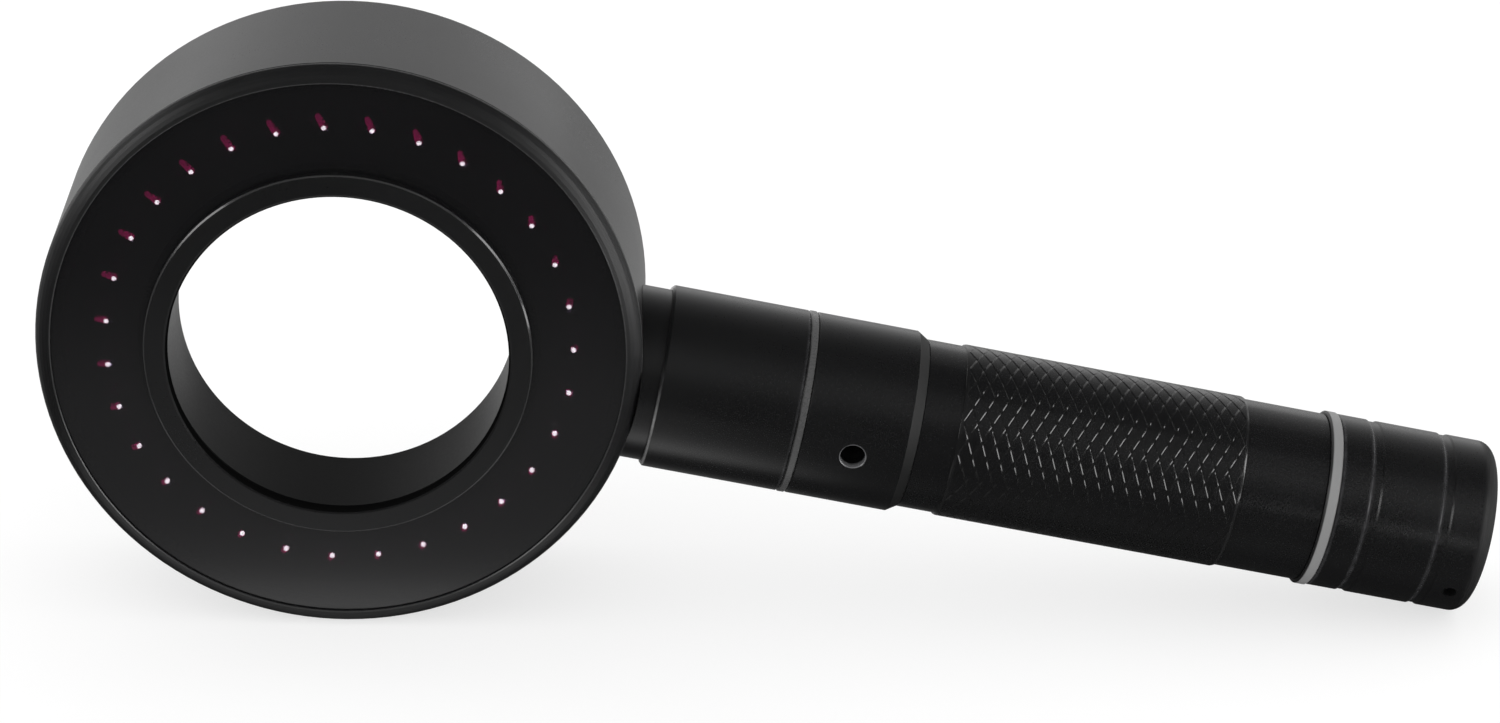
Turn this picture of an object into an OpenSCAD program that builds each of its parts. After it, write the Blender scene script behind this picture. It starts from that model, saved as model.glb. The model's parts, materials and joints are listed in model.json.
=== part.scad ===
// Ring-head ultraviolet torch for checking banknotes.
// It stands as it is laid down: on the rim of the head and the low edge of the tail.
// +Z is up, the lamps face -Y and the handle runs towards +X.
// Heights in the head are measured along the ring's axis, forwards from the handle's axis.
// Stations along the handle are measured from the ring's centre.

/* [Head] */
// Outer radius of the lamp head
head_r = 42.5; // [42.4:0.1:43.5]
// Height of the split line between the side of the head and the bezel ring
side_front = 11.2; // [10.8:0.1:11.6]
// Depth of the head behind the handle's axis
head_back = 15.5; // [14.6:0.1:18]
// Width of the convex bevel round the front rim
rim_bevel = 2.2; // [1.9:0.1:2.2]
// Inner radius of the sleeve that lines the central opening
sleeve_r = 24.2; // [23.9:0.1:24.4]
// Number of ultraviolet lamps
lamp_count = 31; // [24:1:31]
// Radius of the circle on which the tips of the lamps lie
lamp_circle_r = 32.8; // [32.4:0.1:33.2]
// Inward tilt of each lamp in degrees
lamp_tilt = 10; // [6:1:12]
// Number of screws in the rear cover
cover_screw_count = 6; // [3:1:6]

/* [Handle] */
// Station where the front barrel starts
barrel_start = 45; // [44:0.1:46]
// Outer radius of the front and port barrels
barrel_r = 13.15; // [12.9:0.05:13.4]
// Outer radius of the knurled grip over its crests
grip_r = 12.5; // [12.4:0.05:12.7]
// Outer radius of the battery tube's plain stretches
tube_r = 12.2; // [12.1:0.05:12.3]
// Angle of the charging socket below the front of the handle
port_angle = 5; // [0:1:12]
// Radius of the socket hole in the barrel's wall
port_hole_r = 1.8; // [1.8:0.05:2.2]
// Radius of the battery cell
cell_r = 9.2; // [9.0:0.05:9.3]

/* [Tail] */
// Station of the end face of the tail cap
tail_end = 166.6; // [166:0.1:170]
// Outer radius of the tail cap
cap_r = 12.55; // [12.4:0.05:12.8]
// Rounding of the tail cap's end edge
cap_round = 2; // [1.2:0.1:2.4]
// Travel of the tail button
press_travel = 1.6; // [1:0.1:1.8]
// Angle of the lanyard hole below the front of the cap
lanyard_angle = 28; // [0:1:60]
// Radius of the lanyard hole
lanyard_r = 1; // [0.8:0.1:1.2]

/* [Hidden] */
$fn = 96;
slack = 0.05;          // radial gap between parts that screw or slide together
far = 60;              // longer than any wall that a cut has to pass

// Head, as radii and as heights forwards of the handle's axis
housing_wall_r = 38.6;   // bore of the drum in front of the board
board_ledge_r = 37.6;    // bore of the drum behind the board
rim_r = head_r - rim_bevel;
bevel_from = 25;         // directions of the bevel's arc at its outer and inner edge
bevel_to = 70;
bevel_r = rim_bevel / (cos(bevel_from) - cos(bevel_to));
bevel_start = side_front + 0.15;
rim_front = bevel_start + bevel_r * (sin(bevel_to) - sin(bevel_from));
glass_back = side_front + 0.1;
glass_front = glass_back + 1.6;
glass_outer_r = 40.9;
lip_front = glass_front + 1.3;
lip_outer_r = 27.2;
lip_inner_r = sleeve_r - 0.35;
sleeve_outer_r = sleeve_r + 1.1;
sleeve_front = glass_front - 1;
sleeve_back = -4.3;
skirt_outer_r = sleeve_outer_r + 0.9;
glass_inner_r = skirt_outer_r + 0.1;
ledge_front = 8.8;       // shoulder on the sleeve below the inner gasket
ledge_r = 28.2;
thread_inner_r = 40.4;   // skirt of the bezel ring
thread_outer_r = 41.6;
skirt_back = 8.4;
gasket_back = 10.3;
board_back = -0.6;
board_front = 1;
board_inner_r = 26.9;
board_outer_r = 38.4;
holder_back = 6;
holder_front = 7.6;
post_circle_r = 28.6;
post_r = 1.2;
post_count = 4;
cover_seat = -13.7;      // inner face of the rear cover's flat rim
cover_back = 0.2 - head_back;
cover_r = 38.95;
funnel_r = 33;           // where the flat of the rear cover turns into the funnel
funnel_wall = 1.8;
socket_outer_r = 26.8;   // collar of the rear cover around the sleeve
screw_circle_r = 36.2;
boss_r = 2.1;
boss_base = cover_seat + 0.3;
boss_top = -8;
back_round = 1.2;

// Lamps: standard 5 mm domes
lamp_r = 2.5;
lamp_flange_r = 2.9;
lamp_length = 8.7;
lamp_tip = 10.4;
lead_pitch = 2.54;
lead_w = 0.5;
lamp_base_r = lamp_circle_r + lamp_length * sin(lamp_tilt);
lamp_base = lamp_tip - lamp_length * cos(lamp_tilt);

// Handle, as stations along its axis
neck_r = 12.4;
neck_male_r = 7.85;
neck_hole_r = neck_male_r + slack;
neck_bore_r = 5.5;
neck_inner = 38.7;
spigot_r = 10.95;
spigot_end = barrel_start + 8.5;
seal_r = 0.72;
front_barrel_end = barrel_start + 20;
trim_w = 1.3;
port_start = front_barrel_end + trim_w;
join_r = 11.55;
join_length = 4.9;
inner_bore_r = 10.4;
port_bore_r = 10.6;
port_station = port_start + 7.5;
port_end = port_start + 16.2;
port_chamfer = 1.5;
tube_front_r = port_bore_r - slack;
tube_front = port_end - 3.2;
grip_start = port_end + 5.5;
grip_end = grip_start + 41.3;
tube_end = grip_end + 12.2;
tube_bore_r = cell_r + 0.2;
tail_spigot_r = 11.1;
tail_spigot_end = tube_end + 5.9;
tail_seal_r = 0.5;
tail_seal_station = tube_end + 2.9;
tail_trim_w = 1.8;
tail_trim_r = 12.7;
cap_start = tube_end + tail_trim_w;
cap_bore_r = tail_spigot_r + slack;

// Inside the handle
contact_station = tube_front - 1.7;
contact_w = 1.6;
cell_front = port_end - 1.9;   // tip of the cell's positive end
cell_length = 65;
cell_tip_r = 2.75;
cell_tip = 1.4;
cell_back = cell_front + cell_length;
driver_start = spigot_end + 1;
driver_end = contact_station - 0.6;
driver_y = 3;            // front face of the driver board, behind the axis
driver_t = 1.6;
driver_w = 17;
jack_w = 5.6;
jack_length = 6.2;
jack_front = 10.1;
jack_bore_r = port_hole_r + 0.3;
jack_pin_r = 0.6;

// Inside the tail cap
spring_length = 4;
switch_board_start = cell_back + spring_length;
switch_board_end = switch_board_start + 1;
retainer_start = switch_board_start - 1.7;
switch_bore_r = 8.8;
switch_body_r = 6;
switch_body_end = switch_board_end + 4.6;
plunger_r = 1.5;
plunger_slack = 0.06;
button_r = 6.2;
collar_r = 7.4;
collar_w = 1.4;
web_start = tail_end - 7.8;    // wall of the cap that the button passes through
web_w = 1.8;
button_hole_r = button_r + 0.1;
button_crown = tail_end - 1.4;
recess_r = 8.6;
lanyard_station = tail_end - 3.9;
groove_depth = 0.2;
groove_w = 1.7;
groove_stations = [cap_start + 4.4, cap_start + 15];

// The resting pose: the handle dips until the tail's rounded edge meets the floor
tail_arc_s = tail_end - cap_round;
tail_arc_r = cap_r - cap_round;
tail_reach = sqrt(pow(tail_arc_s, 2) + pow(tail_arc_r, 2));
tilt = asin((head_r - cap_round) / tail_reach) - atan(tail_arc_r / tail_arc_s);
x_max = tail_arc_s * cos(tilt) + tail_arc_r * sin(tilt) + cap_round;
x_shift = (head_r - x_max) / 2;
y_shift = (lip_front - head_back) / 2;

// ---- frames and shared shapes ----

// Ring frame: +Z points out of the lamp face, +Y is up
module on_head() {
    translate([x_shift, y_shift, head_r]) rotate([90, 0, 0]) children();
}

// Handle frame: +Z runs towards the tail, +X is down, -Y is the front
module on_handle() {
    translate([x_shift, y_shift, head_r]) rotate([0, tilt + 90, 0]) children();
}

module tube(start, end, outer_r, inner_r) {
    translate([0, 0, start]) difference() {
        cylinder(r = outer_r, h = end - start);
        translate([0, 0, -1]) cylinder(r = inner_r, h = end - start + 2);
    }
}

module ring_seal(centre_r, section_r, station) {
    translate([0, 0, station]) rotate_extrude() translate([centre_r, 0]) circle(r = section_r, $fn = 32);
}

// Copies children round the axis, the first at angle start
module around(count, radius, start = 0) {
    for (i = [0 : count - 1])
        rotate([0, 0, start + i * 360 / count]) translate([radius, 0, 0]) children();
}

// Points of an arc in steps of 10 degrees or finer
function arc(cx, cy, r, a0, a1) =
    let (n = max(2, ceil(abs(a1 - a0) / 10)))
    [for (i = [0 : n]) let (a = a0 + (a1 - a0) * i / n) [cx + r * cos(a), cy + r * sin(a)]];

// ---- head ----

module head_housing() {
    profile = concat(
        [
            [head_r, side_front - 0.3], [head_r - 0.3, side_front],
            [thread_outer_r + slack, side_front], [thread_outer_r + slack, skirt_back - 0.1],
            [thread_inner_r - slack, skirt_back - 0.1], [thread_inner_r - slack, gasket_back],
            [housing_wall_r, gasket_back], [housing_wall_r, board_back],
            [board_ledge_r, board_back], [board_ledge_r, cover_seat],
            [cover_r + slack, cover_seat], [cover_r + slack, -head_back]
        ],
        arc(head_r - back_round, back_round - head_back, back_round, -90, 0)
    );
    color("#1d1d1f") difference() {
        union() {
            on_head() rotate([0, 0, 180]) rotate_extrude($fn = 180) polygon(profile);
            on_head() around(cover_screw_count, screw_circle_r, 30 - tilt)
                translate([0, 0, boss_base]) difference() {
                    cylinder(r = boss_r, h = boss_top - boss_base, $fn = 48);
                    translate([0, 0, -1]) cylinder(r = 1, h = 5.6, $fn = 32);
                }
        }
        on_handle() translate([0, 0, housing_wall_r - 8]) cylinder(r = neck_hole_r, h = 20);
    }
}

module bezel_ring() {
    centre_r = head_r - bevel_r * cos(bevel_from);
    centre_z = bevel_start - bevel_r * sin(bevel_from);
    profile = concat(
        [[head_r, side_front]],
        arc(centre_r, centre_z, bevel_r, bevel_from, bevel_to),
        [
            [rim_r - 0.1, rim_front - 0.1], [rim_r - 0.1, glass_front],
            [glass_outer_r + 0.1, glass_front], [glass_outer_r + 0.1, side_front],
            [thread_inner_r, side_front], [thread_inner_r, skirt_back],
            [thread_outer_r, skirt_back], [thread_outer_r, side_front]
        ]
    );
    color("#19191b") on_head() rotate_extrude($fn = 180) polygon(profile);
}

module filter_glass() {
    color("#16121c") on_head() tube(glass_back, glass_front, glass_outer_r, glass_inner_r, $fn = 180);
}

module outer_gasket() {
    color("#0c0c0c") on_head() tube(gasket_back, glass_back, thread_inner_r - 0.2, housing_wall_r + 0.2);
}

module inner_gasket() {
    color("#0c0c0c") on_head() tube(ledge_front, glass_back, ledge_r, glass_inner_r);
}

module lip_ring() {
    profile = [
        [lip_outer_r, glass_front], [lip_outer_r, lip_front - 0.25], [lip_outer_r - 0.25, lip_front],
        [lip_inner_r + 0.5, lip_front], [lip_inner_r + 0.15, lip_front - 0.15],
        [lip_inner_r, lip_front - 0.5], [lip_inner_r, glass_front],
        [sleeve_outer_r + slack, glass_front], [sleeve_outer_r + slack, ledge_front + 0.1],
        [skirt_outer_r, ledge_front + 0.1], [skirt_outer_r, glass_front]
    ];
    color("#202022") on_head() rotate_extrude($fn = 180) polygon(profile);
}

module inner_sleeve() {
    profile = [
        [sleeve_r, sleeve_back], [sleeve_r, sleeve_front - 0.3], [sleeve_r + 0.3, sleeve_front],
        [sleeve_outer_r, sleeve_front], [sleeve_outer_r, ledge_front], [ledge_r, ledge_front],
        [ledge_r, ledge_front - 1], [sleeve_outer_r, ledge_front - 1], [sleeve_outer_r, sleeve_back]
    ];
    color("#1f1f21") on_head() rotate_extrude($fn = 180) polygon(profile);
}

module back_cover() {
    run = funnel_r - sleeve_r;
    rise = sleeve_back - cover_back;
    slant = sqrt(run * run + rise * rise);
    // the funnel's inner face is its outer face moved by the wall along the normal
    in_r = funnel_r + funnel_wall * rise / slant;
    in_z = cover_back + funnel_wall * run / slant;
    profile = [
        [cover_r, cover_seat], [in_r - (cover_seat - in_z) * run / rise, cover_seat],
        [socket_outer_r, in_z + (in_r - socket_outer_r) * rise / run],
        [socket_outer_r, sleeve_back + 2], [sleeve_outer_r + slack, sleeve_back + 2],
        [sleeve_outer_r + slack, sleeve_back], [sleeve_r, sleeve_back],
        [funnel_r, cover_back], [cover_r, cover_back]
    ];
    color("#1b1b1d") on_head() difference() {
        rotate_extrude($fn = 180) polygon(profile);
        around(cover_screw_count, screw_circle_r, 30 - tilt) translate([0, 0, cover_back]) {
            translate([0, 0, -1]) cylinder(r = 1.1, h = 5, $fn = 32);
            translate([0, 0, -0.01]) cylinder(r1 = 2.01, r2 = 1.1, h = 0.91, $fn = 32);
        }
    }
}

module cover_screws() {
    color("#2b2b2e") on_head() around(cover_screw_count, screw_circle_r, 30 - tilt)
        translate([0, 0, cover_back]) difference() {
            union() {
                cylinder(r1 = 1.9, r2 = 1, h = 0.9, $fn = 32);
                cylinder(r = 0.9, h = 5, $fn = 32);
            }
            for (turn = [0, 90])
                rotate([0, 0, turn]) translate([-1.1, -0.2, -0.1]) cube([2.2, 0.4, 0.6]);
        }
}

module lead_places() {
    around(lamp_count, lamp_base_r)
        for (side = [-1, 1]) translate([0, side * lead_pitch / 2, 0]) children();
}

module led_board() {
    color("#e8e8e4") on_head() difference() {
        tube(board_back, board_front, board_outer_r, board_inner_r);
        lead_places() translate([0, 0, board_back - 1]) cylinder(r = 0.45, h = 4, $fn = 16);
    }
}

module uv_leds() {
    color("#d9ccee") on_head() {
        around(lamp_count, lamp_base_r) union() {
            translate([0, 0, lamp_base]) rotate([0, -lamp_tilt, 0]) {
                cylinder(r = lamp_flange_r, h = 1, $fn = 32);
                cylinder(r = lamp_r, h = lamp_length - lamp_r, $fn = 32);
                translate([0, 0, lamp_length - lamp_r]) sphere(r = lamp_r, $fn = 32);
            }
            for (side = [-1, 1])
                translate([-lead_w / 2, side * lead_pitch / 2 - lead_w / 2, board_back - 0.8])
                    cube([lead_w, lead_w, lamp_base + 0.5 - (board_back - 0.8)]);
        }
    }
}

module led_holder() {
    color("#141414") on_head() difference() {
        tube(holder_back, holder_front, board_outer_r, board_inner_r);
        around(lamp_count, lamp_base_r) translate([0, 0, lamp_base])
            rotate([0, -lamp_tilt, 0]) cylinder(r = lamp_r + 0.08, h = 12, $fn = 32);
    }
}

module led_resistors() {
    color("#252525") on_head() around(lamp_count, 30.6, 180 / lamp_count)
        translate([-1, -0.6, board_back - 0.5]) cube([2, 1.2, 0.5]);
}

module board_posts() {
    color("#c9b477") on_head() around(post_count, post_circle_r, 45)
        translate([0, 0, board_front]) cylinder(r = post_r, h = holder_back - board_front, $fn = 32);
}

module lamp_wires() {
    wire_r = 0.45;
    wire_y = driver_y - wire_r - 0.25;
    bend_at = 37;
    for (side = [-1, 1])
        color(side < 0 ? "#b02018" : "#202020") on_handle() translate([side * 1.8, wire_y, bend_at]) {
            cylinder(r = wire_r, h = driver_start + 2 - bend_at, $fn = 24);
            sphere(r = wire_r, $fn = 24);
            rotate([90, 0, 0]) cylinder(r = wire_r, h = wire_y + board_back - 0.02, $fn = 24);
        }
}

// ---- neck and handle ----

module neck_spigot() {
    color("#171718") difference() {
        union() {
            // the collar is saddle-cut to the side of the head
            difference() {
                on_handle() translate([0, 0, neck_inner + 1])
                    cylinder(r = neck_r, h = barrel_start - neck_inner - 1);
                on_head() rotate([0, 0, 180]) cylinder(r = head_r + 0.02, h = far, center = true, $fn = 180);
            }
            on_handle() translate([0, 0, neck_inner])
                cylinder(r = neck_male_r, h = barrel_start - neck_inner);
            on_handle() translate([0, 0, barrel_start - 0.5])
                cylinder(r = spigot_r, h = spigot_end - barrel_start + 0.5);
        }
        on_handle() {
            translate([0, 0, neck_inner - 1]) cylinder(r = neck_bore_r, h = far);
            tube(barrel_start + 1.5, barrel_start + 3.1, spigot_r + 1, spigot_r - 2 * seal_r - 0.02);
        }
    }
}

module neck_seal() {
    color("#101010") on_handle() ring_seal(spigot_r - seal_r, seal_r, barrel_start + 2.3);
}

module front_barrel() {
    profile = [
        [spigot_r + slack, barrel_start], [barrel_r - 0.4, barrel_start],
        [barrel_r, barrel_start + 0.4], [barrel_r, front_barrel_end - 0.15],
        [barrel_r - 0.15, front_barrel_end], [join_r, front_barrel_end],
        [join_r, front_barrel_end + join_length], [inner_bore_r, front_barrel_end + join_length],
        [inner_bore_r, spigot_end + 0.1], [spigot_r + slack, spigot_end + 0.1]
    ];
    color("#1c1c1e") on_handle() rotate_extrude($fn = 128) polygon(profile);
}

module trim_ring(start, width, outer_r, inner_r) {
    edge = 0.25;
    profile = [
        [inner_r, start], [outer_r - edge, start], [outer_r, start + edge],
        [outer_r, start + width - edge], [outer_r - edge, start + width], [inner_r, start + width]
    ];
    on_handle() rotate_extrude($fn = 128) polygon(profile);
}

module trim_ring_front() {
    color("#585858") trim_ring(front_barrel_end, trim_w, barrel_r + 0.05, join_r + slack);
}

module port_barrel() {
    profile = [
        [join_r + slack, port_start], [barrel_r - 0.15, port_start], [barrel_r, port_start + 0.15],
        [barrel_r, port_end - port_chamfer], [tube_r, port_end], [port_bore_r, port_end],
        [port_bore_r, port_start + join_length - trim_w + 0.1],
        [join_r + slack, port_start + join_length - trim_w + 0.1]
    ];
    color("#1c1c1e") on_handle() difference() {
        rotate_extrude($fn = 128) polygon(profile);
        rotate([0, 0, port_angle]) translate([0, 0, port_station]) rotate([90, 0, 0]) {
            cylinder(r = port_hole_r, h = far, $fn = 48);
            translate([0, 0, barrel_r - 0.2]) cylinder(r1 = port_hole_r, r2 = port_hole_r + 1.3, h = 1.3, $fn = 48);
        }
    }
}

// Frame of the charging socket's board: -Y is the way out of the socket
module on_driver() {
    on_handle() rotate([0, 0, port_angle]) children();
}

module charging_jack() {
    color("#151515") on_driver() translate([0, 0, port_station]) union() {
        difference() {
            translate([-jack_w / 2, -jack_front, -jack_length / 2])
                cube([jack_w, jack_front + driver_y, jack_length]);
            translate([0, -jack_front + 7.4, 0]) rotate([90, 0, 0]) cylinder(r = jack_bore_r, h = far, $fn = 48);
        }
        translate([0, -jack_front + 7.5, 0]) rotate([90, 0, 0]) cylinder(r = jack_pin_r, h = 4.6, $fn = 32);
    }
}

module driver_board() {
    color("#1f4d2c") on_driver() translate([-driver_w / 2, driver_y, driver_start])
        cube([driver_w, driver_t, driver_end - driver_start]);
}

module driver_parts() {
    middle = (driver_start + port_station - jack_length / 2) / 2;
    color("#2a2a2a") on_driver() {
        // coil
        translate([0, driver_y, middle + 1.5]) rotate([90, 0, 0]) cylinder(r = 3.2, h = 4.2, $fn = 48);
        // charge controller and driver chip
        translate([-2.5, driver_y + driver_t, middle - 3]) cube([5, 1.5, 6]);
        translate([-2, driver_y + driver_t, port_station - 3]) cube([4, 1.5, 5]);
        // capacitors
        for (side = [-1, 1])
            translate([side * 5.8 - 1.2, driver_y - 1.4, middle - 2]) cube([2.4, 1.4, 4.2]);
        // lead posts towards the contact board
        for (side = [-1, 1])
            translate([side * 6, driver_y - 0.7, driver_end - 3]) cylinder(r = 0.6, h = 3.55, $fn = 24);
    }
}

module contact_board() {
    color("#1f4d2c") on_handle() translate([0, 0, contact_station])
        cylinder(r = port_bore_r - 0.1, h = contact_w);
}

module positive_contact() {
    color("#c8a04a") on_handle() translate([0, 0, contact_station + contact_w])
        cylinder(r = 2.2, h = cell_front - contact_station - contact_w, $fn = 48);
}

module battery_tube() {
    step = 0.3;
    groove_r = tail_spigot_r - 2 * tail_seal_r - 0.02;
    profile = [
        [tube_bore_r, tube_front], [tube_front_r, tube_front], [tube_front_r, port_end],
        [tube_r, port_end], [tube_r, grip_start], [grip_r - 0.1, grip_start], [grip_r, grip_start + step],
        [grip_r, grip_end - step], [grip_r - 0.1, grip_end], [tube_r, grip_end], [tube_r, tube_end],
        [tail_spigot_r, tube_end],
        [tail_spigot_r, tail_seal_station - 0.55], [groove_r, tail_seal_station - 0.55],
        [groove_r, tail_seal_station + 0.55], [tail_spigot_r, tail_seal_station + 0.55],
        [tail_spigot_r, tail_spigot_end - 0.3], [tail_spigot_r - 0.3, tail_spigot_end],
        [tube_bore_r, tail_spigot_end]
    ];
    color("#1a1a1b") on_handle() rotate_extrude($fn = 128) polygon(profile);
}

module battery_cell() {
    color("#2f6f9f") on_handle() {
        translate([0, 0, cell_front]) cylinder(r = cell_tip_r, h = cell_tip + 0.5, $fn = 48);
        translate([0, 0, cell_front + cell_tip]) cylinder(r = cell_r, h = cell_length - cell_tip);
    }
}

module tail_seal() {
    color("#101010") on_handle() ring_seal(tail_spigot_r - tail_seal_r, tail_seal_r, tail_seal_station);
}

// ---- tail ----

module trim_ring_tail() {
    color("#8d8d8d") trim_ring(tube_end, tail_trim_w, tail_trim_r, tail_spigot_r + slack);
}

module tail_cap() {
    step = 0.25;
    grooves = [
        for (g = groove_stations) each [
            [cap_r, g], [cap_r - groove_depth, g + step],
            [cap_r - groove_depth, g + groove_w - step], [cap_r, g + groove_w]
        ]
    ];
    profile = concat(
        [[cap_bore_r, cap_start], [cap_r - 0.25, cap_start], [cap_r, cap_start + 0.25]],
        grooves,
        [for (p = arc(tail_arc_s, tail_arc_r, cap_round, 90, 0)) [p[1], p[0]]],
        [
            [recess_r + 0.5, tail_end], [recess_r, tail_end - 0.5],
            [recess_r, web_start + web_w], [button_hole_r, web_start + web_w],
            [button_hole_r, web_start], [switch_bore_r, web_start],
            [switch_bore_r, switch_board_end], [cap_bore_r, switch_board_end]
        ]
    );
    color("#1a1a1b") on_handle() difference() {
        rotate_extrude($fn = 128) polygon(profile);
        rotate([0, 0, lanyard_angle]) translate([0, -recess_r + 1, lanyard_station])
            rotate([90, 0, 0]) cylinder(r = lanyard_r, h = 8, $fn = 32);
    }
}

module switch_retainer() {
    color("#b9b9b9") on_handle() difference() {
        tube(retainer_start, switch_board_start, cap_bore_r - slack, 8.6);
        for (side = [-1, 1])
            translate([side * 9.8, 0, retainer_start - 1]) cylinder(r = 0.6, h = 4, $fn = 24);
    }
}

module switch_board() {
    color("#1f4d2c") on_handle() translate([0, 0, switch_board_start])
        cylinder(r = cap_bore_r - 0.15, h = switch_board_end - switch_board_start);
}

// Conical coil: rings of eight points that follow a helix
module tail_spring() {
    wire = 0.4;
    turns = 3.5;
    sides = 8;
    rings = 56;
    small_r = 4.2;
    large_r = 6.4;
    points = [
        for (i = [0 : rings])
            let (
                f = i / rings,
                a = 360 * turns * f,
                r = small_r + (large_r - small_r) * f,
                z = cell_back + wire + (spring_length - 2 * wire) * f
            )
            for (k = [0 : sides - 1])
                let (b = 360 * k / sides)
                [(r + wire * cos(b)) * cos(a), (r + wire * cos(b)) * sin(a), z + wire * sin(b)]
    ];
    skin = [
        for (i = [0 : rings - 1]) for (k = [0 : sides - 1])
            let (m = (k + 1) % sides)
            [i * sides + k, i * sides + m, (i + 1) * sides + m, (i + 1) * sides + k]
    ];
    ends = [
        [for (k = [sides - 1 : -1 : 0]) k],
        [for (k = [0 : sides - 1]) rings * sides + k]
    ];
    color("#c9b477") on_handle() polyhedron(points = points, faces = concat(skin, ends), convexity = 6);
}

module switch_body() {
    color("#2c2c30") on_handle() difference() {
        translate([0, 0, switch_board_end]) cylinder(r = switch_body_r, h = switch_body_end - switch_board_end);
        translate([0, 0, switch_board_end + 0.3]) cylinder(r = plunger_r + plunger_slack, h = 10, $fn = 48);
    }
}

module switch_plunger() {
    start = switch_board_end + press_travel + 0.4;
    color("#e0e0e0") on_handle() translate([0, 0, start])
        cylinder(r = plunger_r, h = web_start - 0.1 - collar_w - start, $fn = 48);
}

module tail_button() {
    base = web_start - 0.1 - collar_w;
    dome = 1.6;
    crown_r = (button_r * button_r + dome * dome) / (2 * dome);
    half = asin(button_r / crown_r);
    profile = concat(
        [[0, base], [collar_r, base], [collar_r, base + collar_w], [button_r, base + collar_w]],
        [for (p = arc(0, button_crown - crown_r, crown_r, 90 - half, 90)) [max(p[0], 0), p[1]]]
    );
    color("#202020") on_handle() rotate_extrude($fn = 96) polygon(profile);
}

head_housing();
bezel_ring();
filter_glass();
outer_gasket();
inner_gasket();
lip_ring();
inner_sleeve();
back_cover();
cover_screws();
led_board();
uv_leds();
led_holder();
led_resistors();
board_posts();
lamp_wires();
neck_spigot();
neck_seal();
front_barrel();
trim_ring_front();
port_barrel();
charging_jack();
driver_board();
driver_parts();
contact_board();
positive_contact();
battery_tube();
battery_cell();
tail_seal();
trim_ring_tail();
tail_cap();
switch_retainer();
switch_board();
tail_spring();
switch_body();
switch_plunger();
tail_button();
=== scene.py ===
"""Looks of a ring-head ultraviolet torch for checking banknotes, built around its CAD frame."""
import json
import math

import bmesh
import bpy
from mathutils import Matrix, Vector


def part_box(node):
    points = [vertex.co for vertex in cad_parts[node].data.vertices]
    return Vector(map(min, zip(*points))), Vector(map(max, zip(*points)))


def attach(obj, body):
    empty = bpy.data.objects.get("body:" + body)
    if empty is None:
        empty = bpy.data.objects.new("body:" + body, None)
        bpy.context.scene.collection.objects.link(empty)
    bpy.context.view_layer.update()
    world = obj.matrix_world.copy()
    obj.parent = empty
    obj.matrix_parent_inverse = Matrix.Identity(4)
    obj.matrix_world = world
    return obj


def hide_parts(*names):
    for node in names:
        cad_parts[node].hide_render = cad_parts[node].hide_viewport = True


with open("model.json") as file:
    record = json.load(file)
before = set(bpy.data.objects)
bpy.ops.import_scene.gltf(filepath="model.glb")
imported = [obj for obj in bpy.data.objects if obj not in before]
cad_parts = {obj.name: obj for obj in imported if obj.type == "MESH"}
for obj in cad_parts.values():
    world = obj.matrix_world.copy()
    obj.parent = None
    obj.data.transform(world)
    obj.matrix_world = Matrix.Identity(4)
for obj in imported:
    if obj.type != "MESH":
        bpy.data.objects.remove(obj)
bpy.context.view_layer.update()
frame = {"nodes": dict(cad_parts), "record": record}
scene = bpy.context.scene
record = frame["record"]
MM = 0.001

# ---- places taken from the frame ----

glass_low, glass_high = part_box("filter_glass")
ring_centre = (glass_low + glass_high) / 2
GLASS_FRONT = 12.9 * MM   # from the handle's axis forwards to the face of the glass
ring_centre.y = glass_low.y + GLASS_FRONT
turn = next(j for j in record["behaviour"]["joints"] if j["name"] == "cap_turn")
along = Vector(turn["axis"]).normalized()
back = Vector((0, 1, 0))
down = back.cross(along).normalized()


def frame_matrix(x_axis, y_axis, z_axis):
    """The matrix that takes a piece built round its own Z to its place at the ring's centre."""
    matrix = Matrix((x_axis, y_axis, z_axis)).transposed().to_4x4()
    matrix.translation = ring_centre
    return matrix


ON_HANDLE = frame_matrix(down, back, along)          # Z runs to the tail, X is down
ON_HEAD = frame_matrix(Vector((1, 0, 0)), Vector((0, 0, 1)), Vector((0, -1, 0)))  # Z is forwards
socket = next(m for m in record["mounts"] if m["name"] == "charging_socket")
socket_at = Vector(socket["pos_m"])
socket_way = Vector(socket["axis"]).normalized()

# ---- camera ----

CAMERA_TURN = math.radians(-0.814)
CAMERA_RISE = math.radians(23.892)
CAMERA_ROLL = math.radians(1.251)
CAMERA_REACH = 637.62 * MM
AIM_RIGHT = 57.592 * MM     # aim point, measured from the ring's centre across the view
AIM_UP = -6.356 * MM
LENS = 107.45
SENSOR = 36


def set_camera():
    to_eye = Vector((math.sin(CAMERA_TURN) * math.cos(CAMERA_RISE),
                     -math.cos(CAMERA_TURN) * math.cos(CAMERA_RISE), math.sin(CAMERA_RISE)))
    level = Vector((math.cos(CAMERA_TURN), math.sin(CAMERA_TURN), 0))
    upright = to_eye.cross(level)
    right = math.cos(CAMERA_ROLL) * level + math.sin(CAMERA_ROLL) * upright
    up = -math.sin(CAMERA_ROLL) * level + math.cos(CAMERA_ROLL) * upright
    data = bpy.data.cameras.new("camera")
    data.lens = LENS
    data.sensor_width = SENSOR
    data.clip_start = 0.01
    data.dof.use_dof = False
    camera = bpy.data.objects.new("camera", data)
    matrix = Matrix((right, up, to_eye)).transposed().to_4x4()
    matrix.translation = ring_centre + AIM_RIGHT * right + AIM_UP * up + CAMERA_REACH * to_eye
    camera.matrix_world = matrix
    scene.collection.objects.link(camera)
    scene.camera = camera


# ---- materials ----

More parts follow.
